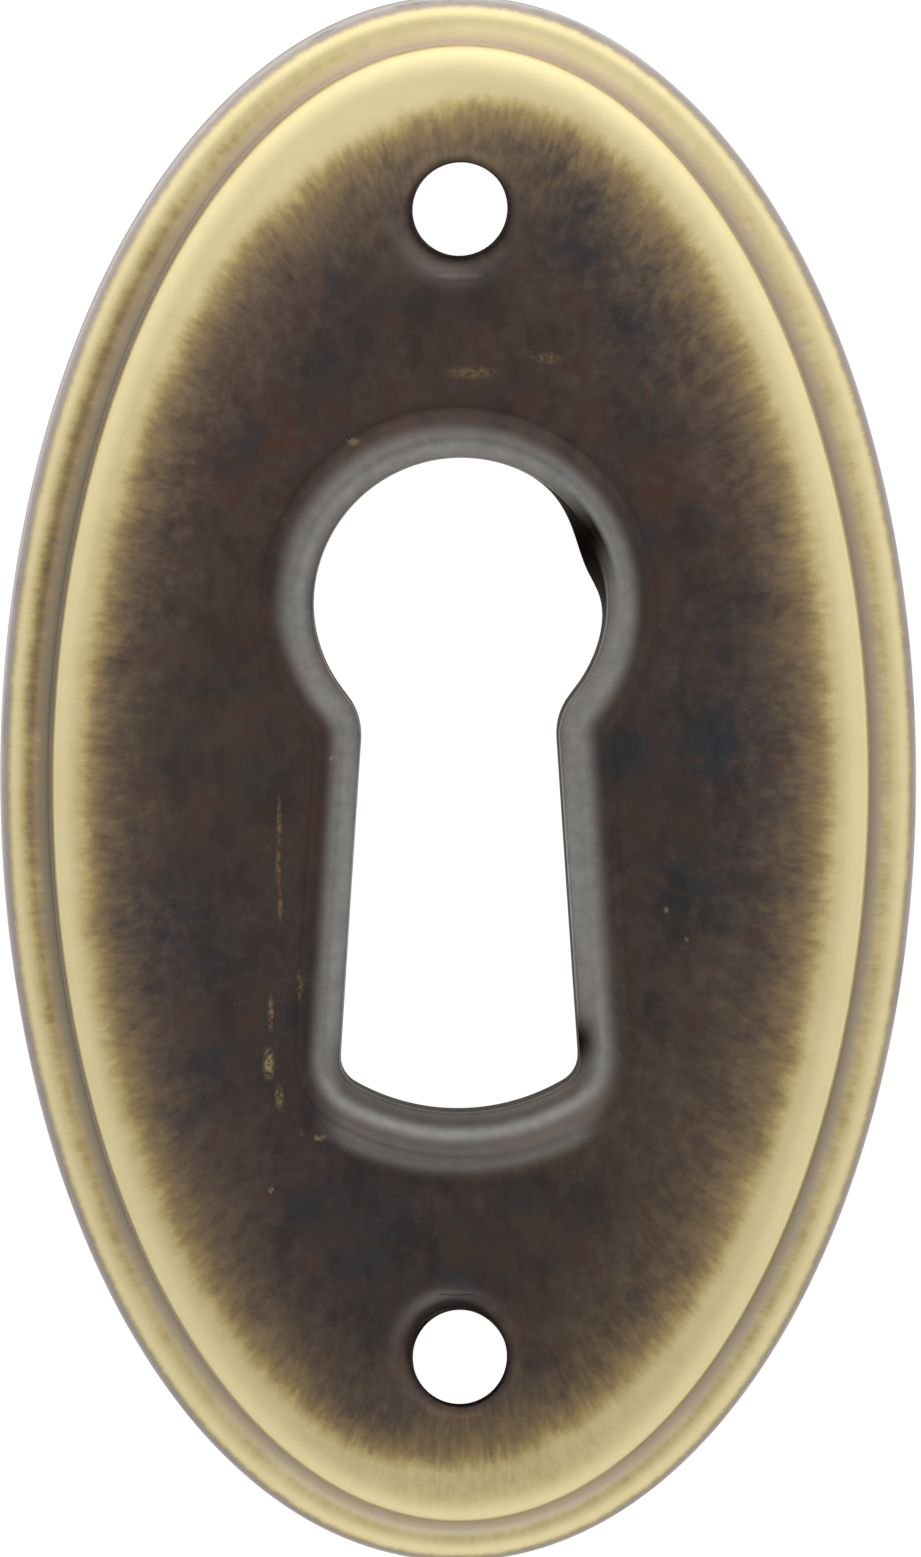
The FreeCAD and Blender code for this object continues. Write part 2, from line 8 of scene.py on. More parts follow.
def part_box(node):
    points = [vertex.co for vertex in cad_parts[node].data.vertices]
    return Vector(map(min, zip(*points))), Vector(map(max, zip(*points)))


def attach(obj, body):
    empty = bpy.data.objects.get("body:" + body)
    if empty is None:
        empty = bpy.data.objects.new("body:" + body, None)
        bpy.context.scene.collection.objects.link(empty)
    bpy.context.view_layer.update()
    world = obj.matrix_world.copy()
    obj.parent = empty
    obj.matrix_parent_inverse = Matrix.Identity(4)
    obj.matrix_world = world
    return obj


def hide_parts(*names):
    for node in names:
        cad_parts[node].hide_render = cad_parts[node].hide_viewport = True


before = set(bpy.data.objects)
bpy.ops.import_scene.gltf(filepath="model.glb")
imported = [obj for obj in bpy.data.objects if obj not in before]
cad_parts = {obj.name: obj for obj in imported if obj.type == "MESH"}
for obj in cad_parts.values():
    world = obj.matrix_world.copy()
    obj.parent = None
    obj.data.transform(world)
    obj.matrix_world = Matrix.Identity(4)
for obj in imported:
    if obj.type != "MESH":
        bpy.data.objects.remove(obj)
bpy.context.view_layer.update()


# The plate. One sheet of brass, pressed in a die to an oval with a rounded rim, a groove inside it,
# a raised shoulder, a shallow dish and a rolled lip round the keyhole. The keyhole and two holes for
# pins are punched through. It lies flat against the wood on the edge of its rim.

mm = 0.001
plate_name = "escutcheon_plate"
plate_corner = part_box(plate_name)[1]
half_width = plate_corner.x
half_length = plate_corner.y
crest_height = plate_corner.z
sheet = 0.6 * mm
outline_fullness = 2.03         # 2 is an ellipse, more is fuller at the diagonals
bead_height = 1.7 * mm
bead_round = 0.5 * mm           # radius of its outside, and how far in its crest lies
bead_fullness = 2.1             # power of the fall from its crest to the riser
bead_edge_round = 0.05 * mm     # the cut edge of the sheet, against the wood
groove_height = 1.45 * mm
shoulder_inset_side = 1.18 * mm
shoulder_inset_end = 1.06 * mm
shoulder_round = 0.42 * mm      # height of the roll over the riser
shoulder_roll = 0.8 * mm        # and how far in it reaches, at the sides
shoulder_roll_end = 1.05 * mm   # and at the ends
crest_width = 0.6 * mm          # from the riser to where the dish begins
crest_softness = 0.07 * mm      # of the turn from the crest to the dish
crest_lift = 0.05 * mm          # what that turn and the bowl take off the crest, given back
dish_depth = 1.15 * mm

columns = 400                   # round the plate
turn = np.linspace(0, 2 * np.pi, columns, endpoint=False)
step_half_width = half_width - shoulder_inset_side
step_half_length = half_length - shoulder_inset_end
step_x = step_half_width * np.cos(turn)
step_y = step_half_length * np.sin(turn)
# Every column of the mesh runs along one ray from the middle of the plate.
ray = np.arctan2(step_y, step_x)


def outline_reach(angle):
    """How far the outline lies from the middle: a superellipse, |x/a|^n + |y/b|^n = 1, on a ray."""
    across = np.abs(np.cos(angle) / half_width) ** outline_fullness
    along = np.abs(np.sin(angle) / half_length) ** outline_fullness
    return (across + along) ** (-1 / outline_fullness)


def outward(x, y):
    """Unit vectors at right angles to a closed line of points, by central differences, pointing out."""
    run_x = np.roll(x, -1) - np.roll(x, 1)
    run_y = np.roll(y, -1) - np.roll(y, 1)
    length = np.hypot(run_x, run_y)
    return run_y / length, -run_x / length


def inset_rows(x, y, insets):
    """Rows of points parallel to a closed line, each moved inward by its inset."""
    out_x, out_y = outward(x, y)
    return x - insets * out_x, y - insets * out_y


def bowl_height(x, y):
    """The dish: an elliptic bowl, its floor dish_depth below the crest, level with the crest at its edge."""
    edge_x = step_half_width - crest_width
    edge_y = step_half_length - crest_width
    return crest_height - dish_depth + dish_depth * ((x / edge_x) ** 2 + (y / edge_y) ** 2)


def field_height(x, y):
    """The shoulder's level crest and the bowl, whichever is lower, with a soft turn where they meet."""
    bowl = bowl_height(x, y)
    gap = crest_height - bowl
    lower = (crest_height + bowl - np.sqrt(gap ** 2 + crest_softness ** 2)) / 2
    return lower + crest_lift


def quarter(radius, steps, start, end):
    """Points on an arc: cosine and sine of evenly spaced angles in degrees, times the radius."""
    angle = np.radians(np.linspace(start, end, steps))
    return radius * np.cos(angle), radius * np.sin(angle)


outline_x = outline_reach(ray) * np.cos(ray)
outline_y = outline_reach(ray) * np.sin(ray)

# The rim's section, from the wood up to the crest of the bead.
foot_x, foot_z = quarter(bead_edge_round, 4, 270, 180)
outer_x, outer_z = quarter(bead_round, 14, 180, 90)
wall_heights = np.linspace(0.3, 0.95, 3) * mm
rim_inset = np.concatenate([bead_edge_round + foot_x, 0 * wall_heights, bead_round + outer_x])
rim_height = np.concatenate([bead_edge_round + foot_z, wall_heights, bead_height - bead_round + outer_z])
rim_x, rim_y = inset_rows(outline_x, outline_y, rim_inset[:, None])
rim_z = np.repeat(rim_height[:, None], columns, axis=1)

# The inside of the bead, which falls in a full curve to the foot of the riser.
groove_share = np.linspace(0, 1, 15)[1:, None]
groove_x = rim_x[-1] + groove_share * (step_x - rim_x[-1])
groove_y = rim_y[-1] + groove_share * (step_y - rim_y[-1])
groove_z = bead_height + (groove_height - bead_height) * groove_share ** bead_fullness + 0 * groove_x

# The riser, and the roll over its top, a quarter of an ellipse that reaches further in at the ends.
riser_lean = 0.02 * mm
lean_shares = np.array([[0.4], [0.7], [1]])
riser_rises = np.array([0.04, 0.13, 0.24]) * mm     # its rows above the groove
roll_x, roll_z = quarter(1, 18, 180, 90)
roll_width = shoulder_roll + (shoulder_roll_end - shoulder_roll) * np.sin(turn) ** 4
riser_inset = np.concatenate([
    np.repeat(riser_lean * lean_shares, columns, axis=1),
    riser_lean + roll_width * (1 + roll_x[:, None])])
riser_height = np.concatenate([
    groove_height + riser_rises,
    crest_height - shoulder_round + shoulder_round * roll_z])
riser_x, riser_y = inset_rows(step_x, step_y, riser_inset)
below_crest = (crest_height - riser_height)[:, None]
# On the roll, heights are taken down from the field's own, so that the two meet.
on_roll = below_crest <= shoulder_round
riser_z = np.where(on_roll, field_height(riser_x, riser_y), crest_height) - below_crest

# The keyhole, as it is punched: a round, a narrow neck, a slot that widens downwards, a curved foot.
round_radius = 3.55 * mm
round_middle = np.array([0, 4.45]) * mm
neck_half_width = 2.4 * mm
neck_radius = 1.55 * mm
slot_lean = math.radians(3.8)
foot_drop = 7.95 * mm
foot_radius = 5.0 * mm
corner_radius = 0.75 * mm

side_out = np.array([math.cos(slot_lean), math.sin(slot_lean)])
side_down = np.array([math.sin(slot_lean), -math.cos(slot_lean)])
neck_x = neck_half_width + neck_radius * side_out[0]
neck_drop = math.sqrt((round_radius + neck_radius) ** 2 - neck_x ** 2)
neck_middle = round_middle + np.array([neck_x, -neck_drop])
side_top = neck_middle - neck_radius * side_out
foot_middle = np.array([0, foot_radius - foot_drop])
corner_reach = (side_top - foot_middle) @ side_out - corner_radius
corner_run = math.sqrt((foot_radius - corner_radius) ** 2 - corner_reach ** 2)
corner_middle = foot_middle + corner_reach * side_out + corner_run * side_down


def keyhole_distance(x, y):
    """Distance outward from the keyhole's edge, negative inside it.

    The right half is the round, the hollow neck, the leaning side, the corner and the foot. Each
    holds between two lines through the middles of its neighbours, and the left half mirrors it.
    """
    x = np.abs(x)

    def turned(line, middle):
        """Above 0 on the left of a line through a middle: the cross product of line and place."""
        return line[0] * (y - middle[1]) - line[1] * (x - middle[0])

    def away(middle):
        """Straight distance from a middle."""
        return np.hypot(x - middle[0], y - middle[1])

    in_round = turned(neck_middle - round_middle, round_middle) > 0
    in_neck = turned(side_out, neck_middle) > 0
    in_side = turned(side_out, corner_middle) > 0
    in_corner = turned(corner_middle - foot_middle, foot_middle) > 0
    side = (x - side_top[0]) * side_out[0] + (y - side_top[1]) * side_out[1]
    return np.select(
        [in_round, in_neck, in_side, in_corner],
        [away(round_middle) - round_radius, neck_radius - away(neck_middle), side,
         away(corner_middle) - corner_radius],
        away(foot_middle) - foot_radius)


nearest_reach = 1.0 * mm        # every line round the keyhole lies between these two
farthest_reach = 13.0 * mm
halvings = 40


def keyhole_rows(distances):
    """Rows of points round the keyhole at given distances from its edge, one point on each ray.

    Halving an interval again and again finds the reach on each ray that has the wanted distance.
    """
    wanted = np.broadcast_to(distances, (len(distances), columns))
    near = np.full(wanted.shape, nearest_reach)
    far = np.full(wanted.shape, farthest_reach)
    for _ in range(halvings):
        middle = (near + far) / 2
        beyond = keyhole_distance(middle * np.cos(ray), middle * np.sin(ray)) > wanted
        far = np.where(beyond, middle, far)
        near = np.where(beyond, near, middle)
    return near * np.cos(ray), near * np.sin(ray)


def bump(value, middle, width):
    """A smooth bell of height 1: e to the minus square of the distance from the middle in widths."""
    return np.exp(-((value - middle) / width) ** 2)


def soft_step(value, low, high):
    """From 0 at low to 1 at high, by the cubic that is level at both ends."""
    share = np.clip((value - low) / (high - low), 0, 1)
    return share ** 2 * (3 - 2 * share)


# The lip: a bead rolled up round the keyhole. Below the keyhole its crest is nearer to the edge, and a
# second, low ridge runs outside it.
lip_rise = 0.42 * mm
lip_crest = 0.4 * mm            # from the keyhole's edge
lip_crest_foot = 0.3 * mm       # and below the keyhole
lip_edge = 0.62                 # its height at that edge, as a share of the rise
lip_slot_width = 1.22 * mm
lip_round_width = 1.27 * mm
lip_foot_width = 1.25 * mm
slot_swing = 0.08 * mm          # wider by this at the slot's right, and narrower at its left
round_swing = 0.07 * mm         # and the other way about round the top
lip_fullness = 2.0              # power of the fall from its crest to its root
ridge_place = 1.26 * mm
ridge_half_width = 0.27 * mm
ridge_rise = 0.07 * mm
lip_root_side = 1.4 * mm        # where the fine rows of the mesh begin
lip_root_foot = 1.95 * mm
round_low = 0.4 * mm            # between these heights the slot's lip turns into the round's
round_high = 3.0 * mm
foot_whole = 16                 # degrees from straight down, between which the foot's lip turns
foot_gone = 36                  # into the slot's

from_down = np.degrees(np.abs(ray + np.pi / 2))
footness = 1 - soft_step(from_down, foot_whole, foot_gone)
hole_x, hole_y = keyhole_rows(np.zeros((1, 1)))
roundness = np.clip((hole_y[0] - round_low) / (round_high - round_low), 0, 1)
to_right = np.clip(hole_x[0] / neck_half_width, -1, 1)
lip_width = (lip_slot_width + slot_swing * to_right * (1 - roundness)
             + roundness * (lip_round_width - lip_slot_width - round_swing * to_right)
             + footness * (lip_foot_width - lip_slot_width))
lip_share = np.linspace(1, 0, 36)[:, None]
lip_reach = lip_share * (lip_root_side + footness * (lip_root_foot - lip_root_side))
lip_x, lip_y = keyhole_rows(lip_reach)


def lip_height(reach, width, foot):
    """Height of the lip over the dish at a reach from the keyhole's edge.

    Outward of its crest it is one minus the square of the share of the way down, to the power
    lip_fullness, and inward it is a quarter of an ellipse. Below the keyhole there is also a
    bell-shaped ridge, and the height is the root of the sum of both squares.
    """
    crest = lip_crest - foot * (lip_crest - lip_crest_foot)
    outward_share = np.clip((reach - crest) / (width - crest), 0, 1)
    inward_share = np.clip((crest - reach) / crest, 0, 1)
    bead = (1 - outward_share ** 2) ** lip_fullness
    bead = bead - (1 - lip_edge) * (1 - np.sqrt(1 - inward_share ** 2))
    ridge = foot * ridge_rise * bump(reach, ridge_place, ridge_half_width)
    return np.hypot(lip_rise * bead, ridge)


lip_z = field_height(lip_x, lip_y) + lip_height(lip_reach, lip_width, footness)

# The field of the dish, on straight runs from the shoulder's roll to the lip's root.
field_rows = 44
field_share = np.linspace(0, 1, field_rows + 2)[1:-1, None]
field_x = riser_x[-1] + field_share * (lip_x[0] - riser_x[-1])
field_y = riser_y[-1] + field_share * (lip_y[0] - riser_y[-1])
field_z = field_height(field_x, field_y)

# The wall of the keyhole, down from the lip and turned in a little, most at the upper right, where a
# knock has pressed the edge in.
wall_turn = 0.03 * mm
pressed_in = 0.36 * mm
pressed_angle = math.radians(25)
pressed_spread = math.radians(19)
wall_drop = 0.3 * mm            # from the dish down to the wall's end
wall_share = np.linspace(0.12, 1, 8)[:, None]
round_angle = np.arctan2(lip_y[-1] - round_middle[1], lip_x[-1] - round_middle[0])
pressed = bump(round_angle, pressed_angle, pressed_spread) * (lip_y[-1] > 0)
wall_x, wall_y = keyhole_rows(-(wall_turn + pressed_in * pressed) * wall_share ** 0.7)
wall_top = lip_z[-1]
wall_foot = field_height(wall_x[-1], wall_y[-1]) - wall_drop
wall_z = wall_top + wall_share * (wall_foot - wall_top)

# The back of the sheet, one thickness behind, from the keyhole's edge out to the rim's foot. Behind
# the lip it rises in a bell, and behind the shoulder and the rim its rows are given one by one.
back_edge = 0.03 * mm           # its first row, from the keyhole's edge
back_rise = 0.3 * mm
back_lip_share = np.linspace(0.0, 1.0, 12)[:, None]
back_lip_x, back_lip_y = keyhole_rows(back_edge + back_lip_share * (lip_reach[0] - back_edge))
back_lip_z = (field_height(back_lip_x, back_lip_y) - sheet
              + back_rise * bump(back_lip_share, 0.3, 0.25) * (1 - back_lip_share))
back_field_x = field_x[::-1]
back_field_y = field_y[::-1]
back_field_z = field_z[::-1] - sheet
back_shoulder_insets = np.array([[0.9], [0.7], [0.6], [0.6]]) * mm
back_shoulder_heights = np.array([[1.58], [1.5], [1.4], [0.9]]) * mm
back_shoulder_x, back_shoulder_y = inset_rows(step_x, step_y, back_shoulder_insets)
back_shoulder_z = np.repeat(back_shoulder_heights, columns, axis=1)
back_rim_insets = np.array([[0.65], [0.6], [0.6], [0.45], [0.25]]) * mm
back_rim_heights = np.array([[0.85], [0.75], [0], [0], [0]]) * mm
back_rim_x, back_rim_y = inset_rows(outline_x, outline_y, back_rim_insets)
back_rim_z = np.repeat(back_rim_heights, columns, axis=1)

# All rows in order make a ring that closes on itself, round the plate and round its section.
groups = [
    ("rim", rim_x, rim_y, rim_z),
    ("groove", groove_x, groove_y, groove_z),
    ("riser", riser_x, riser_y, riser_z),
    ("field", field_x, field_y, field_z),
    ("lip", lip_x, lip_y, lip_z),
    ("wall", wall_x, wall_y, wall_z),
    ("back_lip", back_lip_x, back_lip_y, back_lip_z),
    ("back_field", back_field_x, back_field_y, back_field_z),
    ("back_shoulder", back_shoulder_x, back_shoulder_y, back_shoulder_z),
    ("back_rim", back_rim_x, back_rim_y, back_rim_z),
]
first_row = {}
row_count = 0
for name, rows_x, _, _ in groups:
    first_row[name] = row_count
    row_count += len(rows_x)
grid_x = np.concatenate([group[1] for group in groups])
grid_y = np.concatenate([group[2] for group in groups])
grid_z = np.concatenate([group[3] for group in groups])

# The two pin holes. Round each, a block of the grid gives way to rings that turn into a circle.
pin_radius = 1.15 * mm
pin_rise = 14.0 * mm
dimple_reach = 0.55 * mm
dimple_depth = 0.26 * mm
dimple_most = 1.3               # of the reach, where the punch's middle is nearest to the hole's edge
upper_draw = (-0.05 * mm, -0.12 * mm)   # how far off its middle each hole is drawn in
lower_draw = (-0.13 * mm, 0.22 * mm)
block_rows = 20
block_columns = 36
ring_share = np.linspace(0, 1, 16)[1:]


def block_edge(top_row, left_column, row_step):
    """Grid indices along the edge of a block, once round, starting at a corner."""
    rows = top_row + row_step * np.arange(block_rows + 1)
    across = (left_column + np.arange(block_columns + 1)) % columns
    row_line = np.concatenate([
        np.full(block_columns, rows[0]), rows[:-1],
        np.full(block_columns, rows[-1]), rows[:0:-1]])
    column_line = np.concatenate([
        across[:-1], np.full(block_rows, across[-1]),
        across[:0:-1], np.full(block_rows, across[0])])
    return row_line * columns + column_line


def pin_surface(x, y, middle_x, middle_y):
    """The dish drawn down towards a pin hole, by the square of the nearness to the punch's middle."""
    nearness = 1 - (np.hypot(x - middle_x, y - middle_y) - pin_radius) / dimple_reach
    return field_height(x, y) - dimple_depth * np.clip(nearness, 0, dimple_most) ** 2


vertices = [np.stack([grid_x.ravel(), grid_y.ravel(), grid_z.ravel()], axis=1)]
vertex_count = row_count * columns
behind = [np.repeat(np.arange(row_count) >= first_row["wall"], columns)]
faces = []
kept = np.ones((row_count, columns), bool)
for middle_y, (drawn_x, drawn_y) in ((pin_rise, upper_draw), (-pin_rise, lower_draw)):
    middle_column = columns // 4 if middle_y > 0 else 3 * columns // 4
    left_column = middle_column - block_columns // 2
    block_middle = int(np.argmin(np.abs(field_y[:, middle_column] - middle_y)))
    block_top = block_middle - block_rows // 2
    front_top = first_row["field"] + block_top
    back_top = first_row["back_field"] + field_rows - 1 - block_top
    front_edge = block_edge(front_top, left_column, 1)
    back_edge = block_edge(back_top, left_column, -1)
    cut_columns = (left_column + np.arange(block_columns)) % columns
    kept[front_top:front_top + block_rows, cut_columns] = False
    kept[back_top - block_rows:back_top, cut_columns] = False

    edge_x = grid_x.ravel()[front_edge]
    edge_y = grid_y.ravel()[front_edge]
    angle = np.arctan2(edge_y - middle_y, edge_x)
    circle_x = pin_radius * np.cos(angle)
    circle_y = middle_y + pin_radius * np.sin(angle)
    ring_x = edge_x + ring_share[:, None] * (circle_x - edge_x)
    ring_y = edge_y + ring_share[:, None] * (circle_y - edge_y)
    front_z = pin_surface(ring_x, ring_y, drawn_x, middle_y + drawn_y)
    bore_top = front_z[-1]
    bore_foot = field_height(circle_x, circle_y) - sheet
    bore_share = np.linspace(0.2, 1, 5)[:, None]
    bore_z = bore_top + bore_share * (bore_foot - bore_top)
    bore_x = np.broadcast_to(circle_x, bore_z.shape)
    bore_y = np.broadcast_to(circle_y, bore_z.shape)
    back_x = ring_x[-2::-1]
    back_y = ring_y[-2::-1]
    back_z = field_height(back_x, back_y) - sheet
    patch = np.stack([
        np.concatenate([ring_x, bore_x, back_x]),
        np.concatenate([ring_y, bore_y, back_y]),
        np.concatenate([front_z, bore_z, back_z])], axis=2)
    vertices.append(patch.reshape(-1, 3))
    ring_length = len(front_edge)
    behind.append(np.repeat(np.arange(len(patch)) >= len(ring_x), ring_length))
    rings = np.concatenate([
        front_edge[None, :],
        vertex_count + np.arange(len(patch) * ring_length).reshape(len(patch), ring_length),
        back_edge[None, :]])
    vertex_count += len(patch) * ring_length
    after = np.roll(rings, -1, axis=1)
    loops = np.stack([rings[:-1], after[:-1], after[1:], rings[1:]], axis=2)
    faces.append(loops.reshape(-1, 4))

grid = np.arange(row_count * columns).reshape(row_count, columns)
next_row = np.roll(grid, -1, axis=0)
quads = np.stack([grid, np.roll(grid, -1, axis=1), np.roll(next_row, -1, axis=1), next_row], axis=2)
faces.insert(0, quads[kept])
vertices = np.concatenate(vertices)
faces = np.concatenate(faces)

mesh = bpy.data.meshes.new("pressed_plate")
mesh.from_pydata(vertices.tolist(), [], faces.tolist())
mesh.validate()
mesh.shade_smooth()
plate = bpy.data.objects.new("pressed_plate", mesh)
bpy.context.scene.collection.objects.link(plate)

# Where the brush has rubbed the patina off. From here on, lengths are in millimetres, and every value
# is worked out for all points of the mesh at once. Each point's nearest place on the step's ellipse is
# found by one move down the slope of the ellipse's own function.
place_x = vertices[:, 0] / mm
place_y = vertices[:, 1] / mm
place_z = vertices[:, 2] / mm
step_a = step_half_width / mm
step_b = step_half_length / mm
level = np.hypot(place_x / step_a, place_y / step_b)
slope_x = place_x / step_a ** 2 / level
slope_y = place_y / step_b ** 2 / level
steepness = np.hypot(slope_x, slope_y)
inward = (1 - level) / steepness        # from the step's ellipse, negative outside it
rubbed_x = place_x + inward * slope_x / steepness
rubbed_y = place_y + inward * slope_y / steepness
bearing = np.degrees(np.arctan2(rubbed_y / step_b, rubbed_x / step_a)) % 360


def round_plate(usual, *bells):
    """A value that changes round the plate: the usual one, and bells added over the bearing.

    Each bell has its height, the bearing of its middle and its width, in degrees, taken the short
    way round. Bearing 0 is the right, and 90 is the head.
    """
    value = usual
    for bell_height, middle, width in bells:
        off = (bearing - middle + 180) % 360 - 180
        value = value + bell_height * bump(off, 0, width)
    return value


def spot(x, y, half_across, half_along):
    """A bell of height 1 over an ellipse round a place, e to the minus square of the share out."""
    return bump(np.hypot((place_x - x) / half_across, (place_y - y) / half_along), 0, 1)


# Patina is 0 on bright brass and 1 on the dark field. The band inside the step is rubbed bright, wider
# at the head and the foot, and the patina comes back over a fade that is also wider there. Painted shade
# darkens the band at the foot, and the field is a little paler in three places.
band_width = round_plate(0.93, (-0.14, 190, 30), (0.72, 106, 29), (0.56, 280, 32), (0.17, 325, 32),
                         (0.08, 232, 20), (0.07, 42, 24))
fade_width = round_plate(1.18, (-0.22, 180, 30), (0.37, 95, 35), (0.17, 275, 35), (0.14, 318, 28),
                         (0.08, 40, 28))
fade_places = [-0.8, -0.49, -0.3, -0.15, 0, 0.12, 0.24, 0.42, 0.7, 1.15, 1.9, 2.8]
fade_patina = [0.02, 0.06, 0.14, 0.28, 0.43, 0.55, 0.64, 0.73, 0.82, 0.9, 0.96, 1]
past_band = inward - band_width
past_band = np.where(past_band > 0, past_band / fade_width, past_band)
inner_patina = np.interp(past_band, fade_places, fade_patina)
# Painted shade on the band at the foot.
foot_painted_shade = round_plate(0, (0.24, 275, 42)) * np.interp(inward, [0.2, 0.6], [0, 1])
paler = (0.055 * spot(4.0, -8.6, 3.6, 5.6) + 0.03 * spot(4.2, 11.6, 2.6, 2.6)
         + 0.015 * spot(-5.2, -9.0, 2.2, 2.2))
inner_patina = np.maximum(inner_patina, foot_painted_shade) - paler
roll_patina = np.interp(inward, [-0.05, 0.0, 0.05, 0.1], [0.3, 0.2, 0.08, 0])

# Outside the step, gap_share is the share of the way from the plate's edge in to the step. A dark line
# follows the edge, oxide and painted shade where the sheet turns down, narrowest at the upper left,
# where more light falls. The bead is bright, and darker at the left. The groove darkens towards the
# riser, patina and painted shade in the crease, and painted light leaves it brown at the sides and
# paler at the head, the foot and the right.
edge_turn = np.arctan2(place_y, place_x)
edge_reach = outline_reach(edge_turn) / mm
slope_turn = np.arctan2(slope_y, slope_x)
from_edge = (edge_reach - np.hypot(place_x, place_y)) * np.cos(edge_turn - slope_turn)
no_gap = 1e-6                   # keeps the next line from dividing by nothing
gap_share = np.clip(from_edge / (from_edge - np.minimum(inward, 0) + no_gap), 0, 1)
from_rim = gap_share - round_plate(0.05, (-0.05, 125, 40))
edge_patina_and_shade = np.interp(from_rim, [0, 0.05, 0.1, 0.16, 0.22], [0.85, 0.7, 0.4, 0.15, 0.05])
groove_patina_and_shade = np.interp(gap_share, [0.22, 0.34, 0.46, 0.6, 0.75], [0, 0.03, 0.15, 0.38, 0.45])
groove_patina_less_where_lit = round_plate(1, (-0.85, 80, 38), (-0.55, 262, 50), (-0.25, 0, 35))
bead_darker_left = round_plate(0, (0.3, 160, 38)) * bump(gap_share, 0.54, 0.17)
outer_patina = edge_patina_and_shade + groove_patina_less_where_lit * groove_patina_and_shade + bead_darker_left
patina = np.where(inward < 0, outer_patina, np.maximum(inner_patina, roll_patina))

# Next to the riser and along the rim's edge lies a dull oxide, and next to the riser it also stands for
# painted shade in the crease. Its grey carries painted light: dark at the sides and a pale grey at the
# head, and in the groove at the foot too, where more light falls.
edge_dull = np.interp(from_rim, [0, 0.06, 0.12, 0.18], [0.9, 0.7, 0.3, 0])
groove_oxide_and_shade = np.interp(gap_share, [0.62, 0.75, 0.85], [0, 0.5, 0.95])
dull_and_shade = np.maximum(edge_dull, groove_oxide_and_shade) * (inward < 0.01)
in_groove = np.clip((gap_share - 0.3) / 0.2, 0, 1)
edge_grey_paler_where_lit = round_plate(0, (0.15, 105, 45))
groove_grey_paler_where_lit = round_plate(-0.03, (0.5, 92, 40), (0.52, 268, 52), (0.12, 0, 30), (0.1, 40, 22))
side_grey = 0.32
grey = side_grey + edge_grey_paler_where_lit * (1 - in_groove) + in_groove * groove_grey_paler_where_lit

# Painted light brightens or darkens the brass: brighter towards the head and the right, where more light
# falls, and painted highlights on the crests.
usual_painted_light = 1.02
painted_light_to_head = 0.13
painted_light_to_right = 0.03
most_painted_light = 1.2
band_crest_highlight = round_plate(0, (0.08, 108, 40)) * bump(inward, 0.6, 0.28)
bead_crest_highlight = round_plate(0, (0.17, 268, 60), (0.102, 65, 45)) * bump(gap_share, 0.42, 0.14)
crest_highlights = band_crest_highlight + bead_crest_highlight * (inward < 0)
painted_light = usual_painted_light + painted_light_to_head * place_y / step_b + painted_light_to_right * place_x / step_a + crest_highlights
painted_light = np.minimum(painted_light, most_painted_light)

# The lip is burnished from the keyhole's edge to near its root, a little less far at the top. At the
# edge itself, where it rolls down into the hole, painted shade keeps it darker, most at the left of the
# round and least half way down the slot.
from_hole = keyhole_distance(vertices[:, 0], vertices[:, 1]) / mm
root_margin = 0.25              # the burnish ends this far short of the lip's width
whole_lip = np.full(len(vertices), lip_slot_width / mm - root_margin)
whole_lip[:row_count * columns] = np.tile(lip_width / mm - root_margin, row_count)
round_turn = np.degrees(np.arctan2(place_y - round_middle[1] / mm, place_x))
on_round = np.clip(place_y, 0, 1)
at_top = bump(round_turn, 78, 52) * on_round
at_left = bump(np.abs(round_turn), 180, 50) * on_round
rubbed_lip = 1 - soft_step(from_hole / whole_lip + 0.1 * at_top, 0.35, 1.0)
# Painted shade at the lip's inner edge.
lip_edge_shade = 0.5 - 0.35 * bump(place_y, -2, 2.6) + 0.25 * at_left
burnish_and_painted_light = rubbed_lip * (1 - lip_edge_shade * (1 - soft_step(from_hole, 0, 0.38)))

# Below the keyhole the grey lies in lines of burnish and painted highlight: on the lip, faintly at its
# edge and its root, and on the ridge.
foot_start = -6.0
foot_half = 3.6
foot_fade = 0.8
on_foot = (np.clip(foot_start - place_y, 0, 1)
           * np.clip((foot_half - np.abs(place_x)) / foot_fade, 0, 1))
foot_highlight_lines = (bump(from_hole, 0.5, 0.22) + 0.15 * bump(from_hole, 0.05, 0.2)
                + 0.25 * bump(from_hole, 0.95, 0.2) + 0.5 * bump(from_hole, 1.28, 0.2))
burnish_and_painted_light = burnish_and_painted_light + on_foot * (foot_highlight_lines - burnish_and_painted_light)

# A painted highlight: the drawn edge of each pin hole catches the light in one arc, painted on in the
# lip's grey. Each has its hole's middle, its own radius and half width, its direction and spread in
# degrees, and its strength.
pin_highlight_arcs = [(14.0, 1.65, 0.22, -112, 50, 0.3), (-14.0, 1.66, 0.19, 122, 42, 0.26)]
for middle_y, arc_radius, arc_width, arc_angle, arc_spread, arc_strength in pin_highlight_arcs:
    off_pin = np.hypot(place_x, place_y - middle_y)
    off_angle = np.degrees(np.arctan2(place_y - middle_y, place_x)) - arc_angle
    off_angle = (off_angle + 180) % 360 - 180
    arc = arc_strength * bump(off_pin, arc_radius, arc_width) * bump(off_angle, 0, arc_spread)
    burnish_and_painted_light = np.maximum(burnish_and_painted_light, arc)

